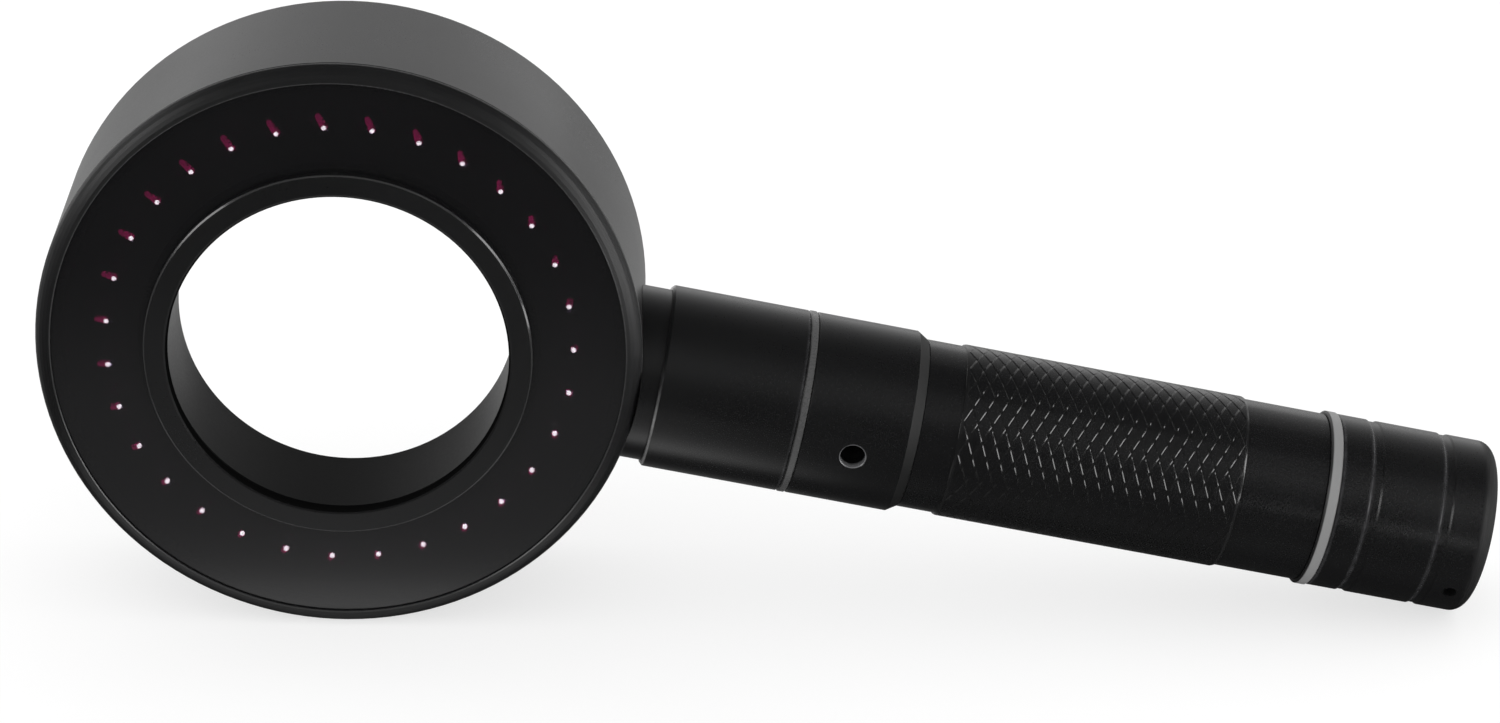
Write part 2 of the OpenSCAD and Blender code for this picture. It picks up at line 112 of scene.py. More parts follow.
DARK, LIGHT = (0.0040, 0.0040, 0.0043), (0.0070, 0.0070, 0.0074)   # black anodising
RUBBED = (0.055, 0.055, 0.058)          # black anodising worn thin at an edge
PAINTED_EDGE_HIGHLIGHT = (0.20, 0.20, 0.20)           # pale colour of a painted highlight on the low front of an edge, standing in for its gloss
CLOUD_SCALE, BLAST_SCALE = 45, 4200     # the anodising's clouds and its blasted grain
BLAST_DEPTH = 0.0035 * MM
CUTTER_RINGS = 900                      # fine rings left by the lathe
BEZEL_INNER_EDGE = (40.25, 13.30, 0.10, 0.16)   # radius, forwards, paleness of the painted highlight line, and gloss of an edge
BEZEL_OUTER_EDGE = (42.48, 11.35, 0.12, 0.16)
LIP_OUTER_EDGE = (27.08, 14.08, 0.10, 0.18)
LIP_BORE = 24.15
SOCKET_EDGE_R = 1.84
SHOULDER_STATION = 81.75
CELL_TIP = 82.2
LAMP_REACH = 2.4     # how far outwards from the lamp circle the glow has turned to its edge colour


class Value:
    """A socket of a node tree; sums on it add Math nodes."""

    def __init__(self, finish, socket):
        self.finish, self.socket = finish, socket

    def sum_node(self, operation, first, second=0.0):
        return self.finish.node("Math", {"operation": operation}, {0: first, 1: second})

    def __add__(self, other):
        return self.sum_node("ADD", self, other)

    def __sub__(self, other):
        return self.sum_node("SUBTRACT", self, other)

    def __rsub__(self, other):
        return self.sum_node("SUBTRACT", other, self)

    def __mul__(self, other):
        return self.sum_node("MULTIPLY", self, other)

    def __truediv__(self, other):
        return self.sum_node("DIVIDE", self, other)

    def __abs__(self):
        return self.sum_node("ABSOLUTE", self)

    def power(self, other):
        return self.sum_node("POWER", self, other)

    def clear_of(self, other):
        return self.sum_node("MAXIMUM", self, other)

    def up_to(self, other):
        return self.sum_node("MINIMUM", self, other)

    def share(self):
        """The value, kept between 0 and 1."""
        return self.clear_of(0.0).up_to(1.0)

    def near(self, place, width):
        """1 at the place, falling to 0 at the width to either side, both in mm."""
        return (1 - abs(self - place * MM) / (width * MM)).clear_of(0.0)

    def rises(self, start, width):
        """0 up to the start and 1 from the width beyond it, both in mm."""
        return ((self - start * MM) / (width * MM)).share()

    def falls(self, end, width):
        """1 up to the width short of the end and 0 from the end on, both in mm."""
        return ((end * MM - self) / (width * MM)).share()

    __radd__, __rmul__ = __add__, __mul__


class Finish:
    """One material: its tree, its shader, and the nodes that are added to it."""

    def __init__(self, name, **settings):
        self.material = bpy.data.materials.new(name)
        self.material.use_nodes = True
        self.tree = self.material.node_tree
        self.shader = self.tree.nodes["Principled BSDF"]
        for socket, value in settings.items():
            self.shader.inputs[socket.replace("_", " ")].default_value = value
        self.place = self.node("TexCoord", output="Object")

    def feed(self, socket, value):
        if isinstance(value, Value):
            self.tree.links.new(value.socket, socket)
        elif isinstance(value, (tuple, list)) and len(value) == 3 and socket.type == "RGBA":
            socket.default_value = (*value, 1)
        else:
            socket.default_value = value

    def node(self, kind, settings=None, inputs=None, output=0):
        made = self.tree.nodes.new("ShaderNode" + kind)
        for name, value in (settings or {}).items():
            setattr(made, name, value)
        for key, value in (inputs or {}).items():
            self.feed(made.inputs[key], value)
        return Value(self, made.outputs[output])

    def noise(self, scale, detail=2.0, at=None):
        return self.node("TexNoise", None,
                         {"Vector": at or self.place, "Scale": scale, "Detail": detail})

    def measure(self, direction, start=None):
        """Distance along a direction from a point, the ring's centre unless told."""
        moved = self.node("VectorMath", {"operation": "SUBTRACT"},
                          {0: self.place, 1: tuple(start or ring_centre)})
        return self.node("VectorMath", {"operation": "DOT_PRODUCT"},
                         {0: moved, 1: tuple(direction)}, output="Value")

    def from_line(self, direction, start):
        """Distance from a line."""
        moved = self.node("VectorMath", {"operation": "SUBTRACT"}, {0: self.place, 1: tuple(start)})
        across = self.node("VectorMath", {"operation": "CROSS_PRODUCT"},
                           {0: moved, 1: tuple(direction)})
        return self.node("VectorMath", {"operation": "LENGTH"}, {0: across}, output="Value")

    def blend(self, share, first, second):
        return self.node("Mix", {"data_type": "RGBA"}, {0: share, 6: first, 7: second}, output=2)

    def set(self, **sockets):
        for name, value in sockets.items():
            self.feed(self.shader.inputs[name.replace("_", " ")], value)

    def bump(self, height, distance):
        self.set(Normal=self.node("Bump", None, {"Distance": distance, "Height": height}))

    def show(self, surface):
        """Puts another shader in the place of the first one."""
        self.feed(self.tree.nodes["Material Output"].inputs["Surface"], surface)


def drift(cloud, grain, of_grain=0.10):
    """How far the gloss drifts over a surface, about nought."""
    return (cloud - 0.5) * 0.10 + (grain - 0.5) * of_grain


def anodised(name, roughness, worn_stations, painted_highlight_station=None, blasted_from=None):
    """Satin black anodised aluminium: blasted grain, faint clouds and rubbed edges, with a painted
    highlight along the low front of one edge if asked.
    """
    f = Finish(name, Metallic=0.0, IOR=1.5)
    cloud = f.noise(CLOUD_SCALE, 4)
    grain = f.noise(BLAST_SCALE, 2)
    rubbed = f.noise(700, 3)
    colour = f.blend(cloud, DARK, LIGHT)
    rough = roughness + drift(cloud, grain)
    station = f.measure(along)
    if painted_highlight_station:
        # painted highlight: a pale line on this edge, only on its lower front, standing in for the
        # light its gloss catches there
        low_front_highlight_mask = f.measure(down).rises(-4, 5) * f.measure(-back).rises(0, 6)
        cut = (station.near(painted_highlight_station, 0.20) * 2).up_to(1.0) * low_front_highlight_mask
        colour = f.blend(cut * (0.3 + rubbed), colour, PAINTED_EDGE_HIGHLIGHT)
    wear = None
    for worn in worn_stations:
        band = station.near(worn, 0.45)
        wear = band if wear is None else wear.clear_of(band)
    wear = (wear * (rubbed * 1.6 - 0.25).clear_of(0.0)).up_to(1.0)
    colour = f.blend(wear, colour, RUBBED)
    rough = rough - wear * 0.06
    if blasted_from:
        rough = rough + station.rises(blasted_from, 1) * 0.45
    f.set(Base_Color=colour, Roughness=rough)
    rings = f.node("TexWave", {"bands_direction": "X", "wave_profile": "SIN"},
                   {"Vector": f.node("CombineXYZ", None, {0: f.measure(along)}),
                    "Scale": CUTTER_RINGS, "Distortion": 0.0})
    f.bump(grain + rings * 0.35, BLAST_DEPTH)
    return f.material


def grip_finish(name):
    """Black anodised, with smoother cut faces in the knurl's grooves and rubbed grip ends."""
    f = Finish(name, IOR=1.5)
    cloud, grain, rubbed = f.noise(CLOUD_SCALE, 4), f.noise(BLAST_SCALE, 2), f.noise(600, 3)
    station, reach = f.measure(along), f.from_line(along, ring_centre)
    on_grip = (station.near((KNURL_START + KNURL_END) / 2, 21) * 30).share()
    cut = reach.falls(GRIP_R - 0.008, 0.03) * on_grip * (0.75 + rubbed * 0.5).up_to(1.0)
    ends = station.near(GRIP_START + 0.15, 0.3) * 0.12
    ends = ends.clear_of(station.near(GRIP_END - 0.15, 0.3) * 0.35)
    colour = f.blend(ends, f.blend(cloud, DARK, LIGHT), (0.06, 0.06, 0.062))
    f.set(Base_Color=f.blend(cut, colour, (0.007, 0.007, 0.007)),
          Roughness=0.27 + drift(cloud, grain) - cut * 0.14)
    f.bump(grain, BLAST_DEPTH)
    return f.material


def rim_anodised(name, edges=(), painted_shade_within=None, roughness=0.30, **settings):
    """The head's turned black, with fine rings, painted highlight lines on its edges, and painted
    shade inside a radius.
    """
    f = Finish(name, Metallic=0.0, IOR=1.5, **settings)
    reach = f.from_line(Vector((0, 1, 0)), ring_centre)
    cloud = f.noise(40, 4)
    grain = f.noise(BLAST_SCALE, 2)
    fine = f.noise(2600, 1, f.node("CombineXYZ", None, {0: reach * 8, 1: f.measure(back)}))
    colour = f.blend(cloud, DARK, LIGHT)
    forwards = f.measure(-back)
    rough = roughness + drift(cloud, grain)
    for radius, height, highlight_paleness, gloss in edges:
        # painted highlight: a pale line round each edge, standing in for the light it catches
        edge = (reach.near(radius, 0.16) * forwards.near(height, 0.20) * 2).up_to(1.0)
        colour = f.blend(edge * highlight_paleness, colour, (0.30, 0.30, 0.30))
        rough = rough - edge * gloss
    f.set(Base_Color=colour, Roughness=rough)
    f.bump(grain + fine * 0.4, BLAST_DEPTH)
    if painted_shade_within:
        # painted shade: inside this radius the surface is near black with no gloss, standing in for
        # the shadow in the gap behind the lip
        dull = f.node("BsdfPrincipled", None, {"Base Color": (0.003, 0.003, 0.003),
                                               "Roughness": 0.7, "Specular IOR Level": 0.0})
        glossy = Value(f, f.shader.outputs[0])
        f.show(f.node("MixShader", None, {0: reach.falls(painted_shade_within, 0.1), 1: glossy, 2: dull}))
    return f.material


def plain_finish(name, dark, light, roughness, grain_depth=0.004, **settings):
    """A material of two near shades whose gloss drifts over the surface, with a fine grain."""
    f = Finish(name, **settings)
    cloud = f.noise(60, 4)
    grain = f.noise(2500, 3)
    f.set(Base_Color=f.blend(cloud, dark, light),
          Roughness=roughness + (grain - 0.5) * 0.12 + (cloud - 0.5) * 0.08)
    f.bump(grain, grain_depth * MM)
    return f.material


def port_barrel_finish():
    """Black anodised, with a paler cut edge round the charging socket and a dull shoulder."""
    f = Finish("black_anodised_port", Metallic=0.0, IOR=1.5)
    cloud, grain = f.noise(CLOUD_SCALE, 4), f.noise(BLAST_SCALE, 2)
    far = f.from_line(socket_way, socket_at)
    front = (f.measure(socket_way, socket_at) / (2 * MM)).clear_of(0.0)
    edge = (far.near(SOCKET_EDGE_R, 0.09) * 3).up_to(1.0) * (front * 4).up_to(1.0)
    colour = f.blend(edge, f.blend(cloud, DARK, LIGHT), (0.14, 0.14, 0.145))
    shoulder = (f.measure(along).near(SHOULDER_STATION, 0.78) * 9).up_to(1.0)
    colour = f.blend(shoulder, colour, (0.003, 0.003, 0.003))
    f.set(Base_Color=colour, Roughness=0.29 + drift(cloud, grain) + shoulder * 0.4)
    f.bump(grain, BLAST_DEPTH)
    return f.material


def ring_finish(name, dark, light, roughness, first, last):
    """A pale silicone ring between two stations, with painted shade where it meets its neighbours.
    """
    f = Finish(name, Metallic=0.0, Roughness=roughness)
    cloud, grain = f.noise(60, 4), f.noise(2500, 3)
    station = f.measure(along)
    # painted shade: darker bands where the ring meets its neighbours, standing in for the shadow in
    # the gaps
    painted_seat_shade = station.near(first, 0.34).clear_of(station.near(last, 0.16))
    painted_seat_shade = (painted_seat_shade * 2.2).up_to(1.0)
    f.set(Base_Color=f.blend(painted_seat_shade, f.blend(cloud, dark, light), (0.010, 0.010, 0.010)),
          Roughness=roughness + (grain - 0.5) * 0.12 + (cloud - 0.5) * 0.08)
    f.bump(grain, 0.01 * MM)
    return f.material


def glass_finish():
    """Filter glass that looks black and lets a little of the lamps' glow out."""
    f = Finish("dark_filter", Metallic=0.0, IOR=1.5, Alpha=0.95)
    smear = f.noise(55, 5)
    f.set(Base_Color=f.blend(smear, (0.0052, 0.0052, 0.0055), (0.0070, 0.0068, 0.0074)),
          Roughness=0.16 + (smear - 0.5) * 0.08)
    return f.material


def epoxy_finish():
    """The lamps' clear epoxy, tinted a little violet."""
    f = Finish("clear_epoxy", Metallic=0.0, IOR=1.54, Alpha=0.35)
    cloud = f.noise(300, 3)
    f.set(Base_Color=f.blend(cloud, (0.30, 0.22, 0.42), (0.42, 0.34, 0.55)),
          Roughness=0.10 + cloud * 0.06)
    return f.material


def glow_finish(name, colour, edge_colour, strength, fade):
    """A lamp's light: the first colour in the middle, the second at its edge and outwards."""
    f = Finish(name, Metallic=0.0, Emission_Strength=strength, Roughness=0.4)
    speck = f.noise(1500, 2)
    facing = f.node("LayerWeight", None, {"Blend": fade}, output="Facing")
    outwards = (f.from_line(back, ring_centre) - LAMP_CIRCLE * MM) / (LAMP_REACH * MM)
    share = (facing + (speck - 0.5) * 0.3).clear_of(outwards).share()
    f.set(Base_Color=f.blend(speck, colour, edge_colour),
          Emission_Color=f.blend(share, colour, edge_colour))
    return f.material


def wire_finish():
    """Silicone wire covering, red on one wire and black on the other."""
    f = Finish("wire_cover", Metallic=0.0, Roughness=0.45)
    side = (f.measure(down) * 2000 + 0.5).share()
    grain = f.noise(1800, 2)
    f.set(Base_Color=f.blend(side, (0.36, 0.02, 0.02), (0.02, 0.02, 0.02)),
          Roughness=0.42 + (grain - 0.5) * 0.1)
    f.bump(grain, 0.004 * MM)
    return f.material


def board_finish(name, mask, copper):
    """Circuit board with faint tracks under its solder mask."""
    f = Finish(name, Metallic=0.0)
    tracks = f.node("TexBrick", None, {"Vector": f.place, "Scale": 260, "Mortar Size": 0.03},
                    output="Fac")
    grain = f.noise(1500, 2)
    f.set(Base_Color=f.blend(tracks, mask, copper), Roughness=0.34 + (grain - 0.5) * 0.1)
    f.bump(tracks, 0.01 * MM)
    return f.material


def cell_finish():
    """Blue shrink film, with the bare metal of the cell's front tip."""
    f = Finish("cell_wrap", Metallic=0.0, Coat_Weight=0.4, Coat_Roughness=0.1)
    film = f.noise(90, 4)
    tip = (f.measure(along, ring_centre + along * CELL_TIP * MM) * 3000).share()
    film_colour = f.blend(film, (0.025, 0.14, 0.30), (0.035, 0.18, 0.38))
    f.set(Base_Color=f.blend(tip, (0.55, 0.55, 0.54), film_colour),
          Metallic=1 - tip, Roughness=0.26 + (film - 0.5) * 0.12)
    f.bump(film, 0.05 * MM)
    return f.material


def coat(piece, material):
    """Gives the piece this material alone."""
    piece.data.materials.clear()
    piece.data.materials.append(material)


# ---- modelling by hand ----

WELD = 0.004 * MM    # points nearer than this are one point


def start_circle(name, radius, station, points):
    """A circle of points round Z, left in edit mode with everything selected."""
    bpy.ops.object.select_all(action="DESELECT")
    bpy.ops.mesh.primitive_circle_add(vertices=points, radius=radius, fill_type="NOTHING",
                                      location=(0, 0, station))
    piece = bpy.context.object
    piece.name = piece.data.name = name
    bpy.ops.object.mode_set(mode="EDIT")
    bpy.ops.mesh.select_all(action="SELECT")
    return piece


def draw_out(profile):
    """Extrudes the selected loop through (radius, station) pairs; the loop is at the first."""
    for (near_r, near_s), (far_r, far_s) in zip(profile, profile[1:]):
        move = {"value": (0, 0, far_s - near_s)}
        bpy.ops.mesh.extrude_region_move(TRANSFORM_OT_translate=move)
        share = far_r / near_r
        bpy.ops.transform.resize(value=(share, share, 1), center_override=(0, 0, far_s))


def select_where(piece, test, kind="verts"):
    """Selects, in edit mode, only the points or edges that pass the test."""
    shape = bmesh.from_edit_mesh(piece.data)
    bpy.ops.mesh.select_all(action="DESELECT")
    for item in getattr(shape, kind):
        if test(item):
            item.select_set(True)
    shape.select_flush_mode()
    bmesh.update_edit_mesh(piece.data)


def close_up():
    """Welds the piece in edit mode, turns its faces outwards and leaves edit mode."""
    bpy.ops.mesh.select_all(action="SELECT")
    bpy.ops.mesh.remove_doubles(threshold=WELD)
    bpy.ops.mesh.normals_make_consistent(inside=False)
    bpy.ops.object.mode_set(mode="OBJECT")


def settle(piece, matrix=None, smooth=32):
    """Puts the piece in its place, with the place in its mesh."""
    bpy.ops.object.select_all(action="DESELECT")
    piece.select_set(True)
    bpy.context.view_layer.objects.active = piece
    bpy.ops.object.transform_apply(location=True, rotation=True, scale=True)
    if matrix is not None:
        piece.matrix_world = matrix
        bpy.ops.object.transform_apply(location=True, rotation=True, scale=True)
    if smooth:
        bpy.ops.object.shade_smooth_by_angle(angle=math.radians(smooth))
    return piece


def turned(name, profile, points=96, matrix=None, smooth=32):
    """A piece turned on a lathe, from (radius, station) pairs in metres."""
    piece = start_circle(name, *profile[0], points)
    draw_out(profile)
    close_up()
    return settle(piece, matrix, smooth)


def in_mm(profile):
    """The profile in metres, with its points on the axis moved just off it."""
    return [(max(r, 0.001) * MM, s * MM) for r, s in profile]


def arc(centre_r, centre_s, radius, start, end, steps):
    """(radius, station) pairs on an arc; angles run from outwards to the tail."""
    turns = [math.radians(start + (end - start) * i / steps) for i in range(steps + 1)]
    return [(centre_r + radius * math.cos(t), centre_s + radius * math.sin(t)) for t in turns]


def copied_round(piece, count, radius, matrix, angle_of=None):
    """Copies a small piece round the head, each copy leaning as its place asks, as one object."""
    copies = []
    for i in range(count):
        spin = 2 * math.pi * i / count
        copy = piece.copy()
        copy.data = piece.data.copy()
        scene.collection.objects.link(copy)
        lean = angle_of(spin) if angle_of else Matrix.Identity(4)
        place = matrix @ Matrix.Rotation(spin, 4, "Z") @ Matrix.Translation((radius, 0, 0))
        copy.matrix_world = place @ lean
        copies.append(copy)
    name = piece.name
    bpy.data.objects.remove(piece)
    bpy.ops.object.select_all(action="DESELECT")
    for copy in copies:
        copy.select_set(True)
    bpy.context.view_layer.objects.active = copies[0]
    bpy.ops.object.transform_apply(location=True, rotation=True, scale=True)
    bpy.ops.object.join()
    joined = bpy.context.object
    joined.name = joined.data.name = name
    return joined


# ---- the battery tube with its knurled grip ----

PORT_END = 82.5
TUBE_FRONT = 79.3
TUBE_END = 141.5
GRIP_START, GRIP_END = 88.0, 129.3
GRIP_R, TUBE_R = 12.5, 12.2
TUBE_FRONT_R, TAIL_SPIGOT_R, TUBE_BORE_R = 10.55, 11.1, 9.4
TAIL_SPIGOT_END = 147.4
SEAL_STATION, SEAL_HALF_WIDTH, SEAL_SEAT_R = 144.4, 0.55, 10.08
THREAD_ROOT_R, THREAD_CREST_R = 10.7, 11.13
THREAD_START, THREAD_TURNS, THREAD_PITCH = 145.5, 1.45, 1.0
DIAMONDS_ROUND, DIAMONDS_ALONG = 18, 20
KNURL_START, KNURL_END = 88.35, 128.95
GROOVE_WIDTH, GROOVE_DEPTH = 0.28, 0.08
TOOTH_BASE, TOOTH_CREST, TOOTH_SUNK = 0.72, 0.16, 0.1
SHEET_CELLS = 44     # enough for the turned sheet to cover the whole grip


def knurled_sleeve():
    """A flat sheet ruled with crossing grooves, rolled into a tube."""
    girth = 2 * math.pi * GRIP_R * MM
    length = (KNURL_END - KNURL_START) * MM
    pitch_round, pitch_along = girth / DIAMONDS_ROUND, length / DIAMONDS_ALONG
    bpy.ops.object.select_all(action="DESELECT")
    # one cell is one diamond once the sheet has been turned by 45 degrees and stretched
    bpy.ops.mesh.primitive_grid_add(x_subdivisions=SHEET_CELLS, y_subdivisions=SHEET_CELLS,
                                    size=SHEET_CELLS)
    sheet = bpy.context.object
    sheet.name = sheet.data.name = "grip_tube"
    bpy.ops.object.mode_set(mode="EDIT")
    bpy.ops.mesh.select_all(action="SELECT")
    bpy.ops.mesh.subdivide(number_cuts=2)
    shape = bmesh.from_edit_mesh(sheet.data)

    def on_rule(edge):
        a, b = (v.co for v in edge.verts)
        return any(abs(a[k] - b[k]) < 1e-4 and abs(a[k] - round(a[k])) < 1e-3 for k in (0, 1))

    def in_groove(vertex):
        return any(abs(vertex.co[k] - round(vertex.co[k])) < 0.1 * half_groove for k in (0, 1))

    select_where(sheet, on_rule, "edges")
    diamond_side = math.hypot(pitch_round, pitch_along) / 2
    across = pitch_round * pitch_along / 2 / diamond_side
    half_groove = GROOVE_WIDTH * MM / 2 / across
    bpy.ops.mesh.bevel(offset=half_groove, offset_type="OFFSET", segments=2, profile=0.5,
                       affect="EDGES")
    select_where(sheet, in_groove)
    bpy.ops.transform.translate(value=(0, 0, -GROOVE_DEPTH * MM))
    bpy.ops.mesh.select_all(action="SELECT")
    bpy.ops.transform.rotate(value=math.radians(45), orient_axis="Z", center_override=(0, 0, 0))
    half = 1 / math.sqrt(2)
    bpy.ops.transform.resize(value=(pitch_round * half, pitch_along * half, 1),
                             center_override=(0, 0, 0))
    for reach, normal in ((girth / 2, (1, 0, 0)), (girth / 2, (-1, 0, 0)),
                          (length / 2, (0, 1, 0)), (length / 2, (0, -1, 0))):
        bpy.ops.mesh.select_all(action="SELECT")
        at = tuple(n * reach for n in normal)
        bpy.ops.mesh.bisect(plane_co=at, plane_no=normal, clear_outer=True, threshold=1e-7)
    bpy.ops.object.mode_set(mode="OBJECT")
    # roll it: the sheet's width goes round, its length along Z
    radius = GRIP_R * MM
    for v in sheet.data.vertices:
        round_angle = v.co.x / radius
        at_end = abs(abs(v.co.y) - length / 2) < 1e-6
        reach = radius + (0 if at_end else v.co.z)
        v.co = (reach * math.cos(round_angle), reach * math.sin(round_angle), v.co.y)
    bpy.ops.object.mode_set(mode="EDIT")
    bpy.ops.mesh.select_all(action="SELECT")
    bpy.ops.mesh.remove_doubles(threshold=WELD)
    bpy.ops.transform.translate(value=(0, 0, (KNURL_START + KNURL_END) / 2 * MM))
    return sheet


def battery_tube():
    """The knurled sleeve is drawn out at both ends and closed through the bore."""
    tube = knurled_sleeve()
    seat_start, seat_end = SEAL_STATION - SEAL_HALF_WIDTH, SEAL_STATION + SEAL_HALF_WIDTH
    to_front = in_mm([
        (GRIP_R, KNURL_START), (GRIP_R, GRIP_START + 0.3), (GRIP_R - 0.1, GRIP_START),
        (TUBE_R + 0.04, GRIP_START), (TUBE_R, GRIP_START - 0.04),
        (TUBE_R, PORT_END + 0.15), (TUBE_R - 0.15, PORT_END), (TUBE_FRONT_R, PORT_END),
        (TUBE_FRONT_R, TUBE_FRONT + 0.25), (TUBE_FRONT_R - 0.25, TUBE_FRONT),
        (TUBE_BORE_R, TUBE_FRONT),
    ])
    to_tail = in_mm([
        (GRIP_R, KNURL_END), (GRIP_R, GRIP_END - 0.3), (GRIP_R - 0.1, GRIP_END),
        (TUBE_R + 0.04, GRIP_END), (TUBE_R, GRIP_END + 0.04),
        (TUBE_R, TUBE_END - 0.15), (TUBE_R - 0.15, TUBE_END), (TAIL_SPIGOT_R, TUBE_END),
        (TAIL_SPIGOT_R, seat_start), (SEAL_SEAT_R, seat_start),
        (SEAL_SEAT_R, seat_end), (TAIL_SPIGOT_R, seat_end),
        (TAIL_SPIGOT_R, seat_end + 0.15), (THREAD_ROOT_R, seat_end + 0.25),
        (THREAD_ROOT_R, TAIL_SPIGOT_END - 0.3), (THREAD_ROOT_R - 0.3, TAIL_SPIGOT_END),
        (TUBE_BORE_R, TAIL_SPIGOT_END), (TUBE_BORE_R, TUBE_FRONT),
    ])
    for end, profile in ((KNURL_START * MM, to_front), (KNURL_END * MM, to_tail)):

        def on_end(edge):
            return edge.is_boundary and all(abs(v.co.z - end) < 1e-6 for v in edge.verts)

        select_where(tube, on_end, "edges")
        draw_out(profile)
    close_up()
    return settle(tube, ON_HANDLE, smooth=28)


def tail_thread():
    """The right-hand thread that the tail cap screws on to: a tooth swept round the tube."""
    base, crest, root = TOOTH_BASE * MM, TOOTH_CREST * MM, (THREAD_ROOT_R - TOOTH_SUNK) * MM
    bpy.ops.object.select_all(action="DESELECT")
    bpy.ops.mesh.primitive_plane_add(size=base, location=(root + base / 2, 0, 0),
                                     rotation=(math.pi / 2, 0, 0))
    thread = bpy.context.object
    thread.name = thread.data.name = "tail_thread"
    bpy.ops.object.transform_apply(location=True, rotation=True, scale=True)
    bpy.ops.object.mode_set(mode="EDIT")
    select_where(thread, lambda v: v.co.x > root + base / 2)
    bpy.ops.transform.resize(value=(1, 1, crest / base), center_override=(0, 0, 0))
    bpy.ops.transform.translate(value=(THREAD_CREST_R * MM - root - base, 0, 0))
    bpy.ops.mesh.select_all(action="SELECT")
    bpy.ops.mesh.delete(type="ONLY_FACE")
    bpy.ops.object.mode_set(mode="OBJECT")
    sweep = thread.modifiers.new("sweep", "SCREW")
    sweep.angle = 2 * math.pi * THREAD_TURNS
    sweep.screw_offset = THREAD_TURNS * THREAD_PITCH * MM
    sweep.steps = sweep.render_steps = 160
    bpy.ops.object.modifier_apply(modifier="sweep")
    bpy.ops.object.mode_set(mode="EDIT")
    select_where(thread, lambda e: e.is_boundary, "edges")
    bpy.ops.mesh.fill()
    bpy.ops.mesh.select_all(action="SELECT")
    bpy.ops.transform.translate(value=(0, 0, THREAD_START * MM))
    close_up()
    return settle(thread, ON_HANDLE, smooth=28)


# ---- lamps' glow ----

LAMPS = 31
LAMP_CIRCLE = 32.8
LAMP_TIP = 10.4
# a lit chip and its streak of light; both start a little behind the lamp's tip
CORE_R, CORE_LENGTH, CORE_BEHIND = 0.36, 0.12, 0.1
HALO_R, HALO_TIP_R, HALO_LENGTH, HALO_BEHIND = 0.56, 0.42, 1.60, 0.3


def glow_pieces():
    """The lit chips, and the streak of light that stands beside each."""
    core_profile = arc(0, 0, CORE_R, -90, -20, 4) + arc(0, CORE_LENGTH, CORE_R, 20, 90, 4)
    core = turned("lamp_glows", in_mm(core_profile), 20, smooth=0)
    cores = copied_round(core, LAMPS, LAMP_CIRCLE * MM,
                         ON_HEAD @ Matrix.Translation((0, 0, (LAMP_TIP - CORE_BEHIND) * MM)))
    halo_profile = arc(0, 0, HALO_R, -90, -10, 4) + arc(0, HALO_LENGTH, HALO_TIP_R, 0, 90, 5)
    halo = turned("lamp_halos", in_mm(halo_profile), 20, smooth=0)

    def lean(spin):
        """Outwards and a little to the left, shorter at the right and low down."""
        leftwards = 0.5 + 0.45 * math.cos(spin)
        way = Vector((1.0 - leftwards * math.cos(spin), leftwards * math.sin(spin), -0.12))
        length = max(0.42, 0.58 + 0.42 * math.sin(spin) - 0.20 * math.cos(spin))
        aimed = way.to_track_quat("Z", "Y").to_matrix().to_4x4()
        return Matrix.Translation(way * 0.05 * MM) @ aimed @ Matrix.Diagonal((1, 1, length, 1))

    halos = copied_round(halo, LAMPS, LAMP_CIRCLE * MM,
                         ON_HEAD @ Matrix.Translation((0, 0, (LAMP_TIP - HALO_BEHIND) * MM)), lean)
    return cores, halos


# ---- tail pieces ----

BUTTON_R, BUTTON_COLLAR_R = 6.2, 7.4
BUTTON_BASE, BUTTON_COLLAR_END = 157.3, 158.7
BUTTON_CROWN, BUTTON_DOME = 165.2, 1.6
BUTTON_RINGS = (5.0, 3.9, 2.8, 1.7)
RING_FOOT, RING_TOP, RING_HEIGHT = 0.38, 0.18, 0.20    # half widths and height of a raised ring


def button():
    """Rubber button with raised rings on its crown."""
    crown_r = (BUTTON_R ** 2 + BUTTON_DOME ** 2) / (2 * BUTTON_DOME)

    def crown(r, sunk):
        return BUTTON_CROWN - crown_r + math.sqrt(crown_r ** 2 - r ** 2) - sunk

    top, foot = 0.02, 0.02 + RING_HEIGHT
    collar, collar_end, rounding = BUTTON_COLLAR_R, BUTTON_COLLAR_END, 0.2
    profile = [(0, BUTTON_BASE), (collar - rounding, BUTTON_BASE), (collar, BUTTON_BASE + rounding),
               (collar, collar_end - rounding), (collar - rounding, collar_end),
               (BUTTON_R, collar_end), (BUTTON_R, BUTTON_CROWN - BUTTON_DOME),
               (BUTTON_R - 0.35, crown(BUTTON_R - 0.35, 0.05))]
    for ring in BUTTON_RINGS:
        profile += [(r, crown(r, sunk)) for r, sunk in (
            (ring + RING_FOOT, foot), (ring + RING_TOP, top),
            (ring - RING_TOP, top), (ring - RING_FOOT, foot))]
    profile += [(0.6, crown(0.6, foot)), (0, crown(0, foot))]
    return turned("button_rubber", in_mm(profile), 96, ON_HANDLE, smooth=40)


# ---- stage ----

FLOOR_SIDE = 6.0
FLOOR_LIGHT = 0.69
SHEEN_BELOW, LOW_PANEL_BELOW = 0.3 * MM, 0.2 * MM    # under the floor, so none lie face to face
LOW_PANEL = (0.42, -0.30, 0.46, 0.60)                # place to the right and forwards, width, depth
LOW_PANEL_LIGHT = 6.0
# soft panels that show in the gloss: name, direction, distance, width, height, strength
PANELS = (
    ("panel_right", (0.83, -0.40, 0.19), 0.65, 0.20, 0.56, 7.0),
    ("panel_left", (-0.85, -0.29, 0.44), 0.65, 0.22, 0.26, 5.0),
    ("panel_tail", (0.28, -0.30, 0.60), 0.66, 0.24, 0.12, 0.16),
    ("panel_back_left", (-0.80, 0.55, 0.30), 0.65, 0.30, 0.40, 2.5),
    ("panel_back_right", (0.80, 0.55, 0.30), 0.65, 0.30, 0.40, 1.0),
)


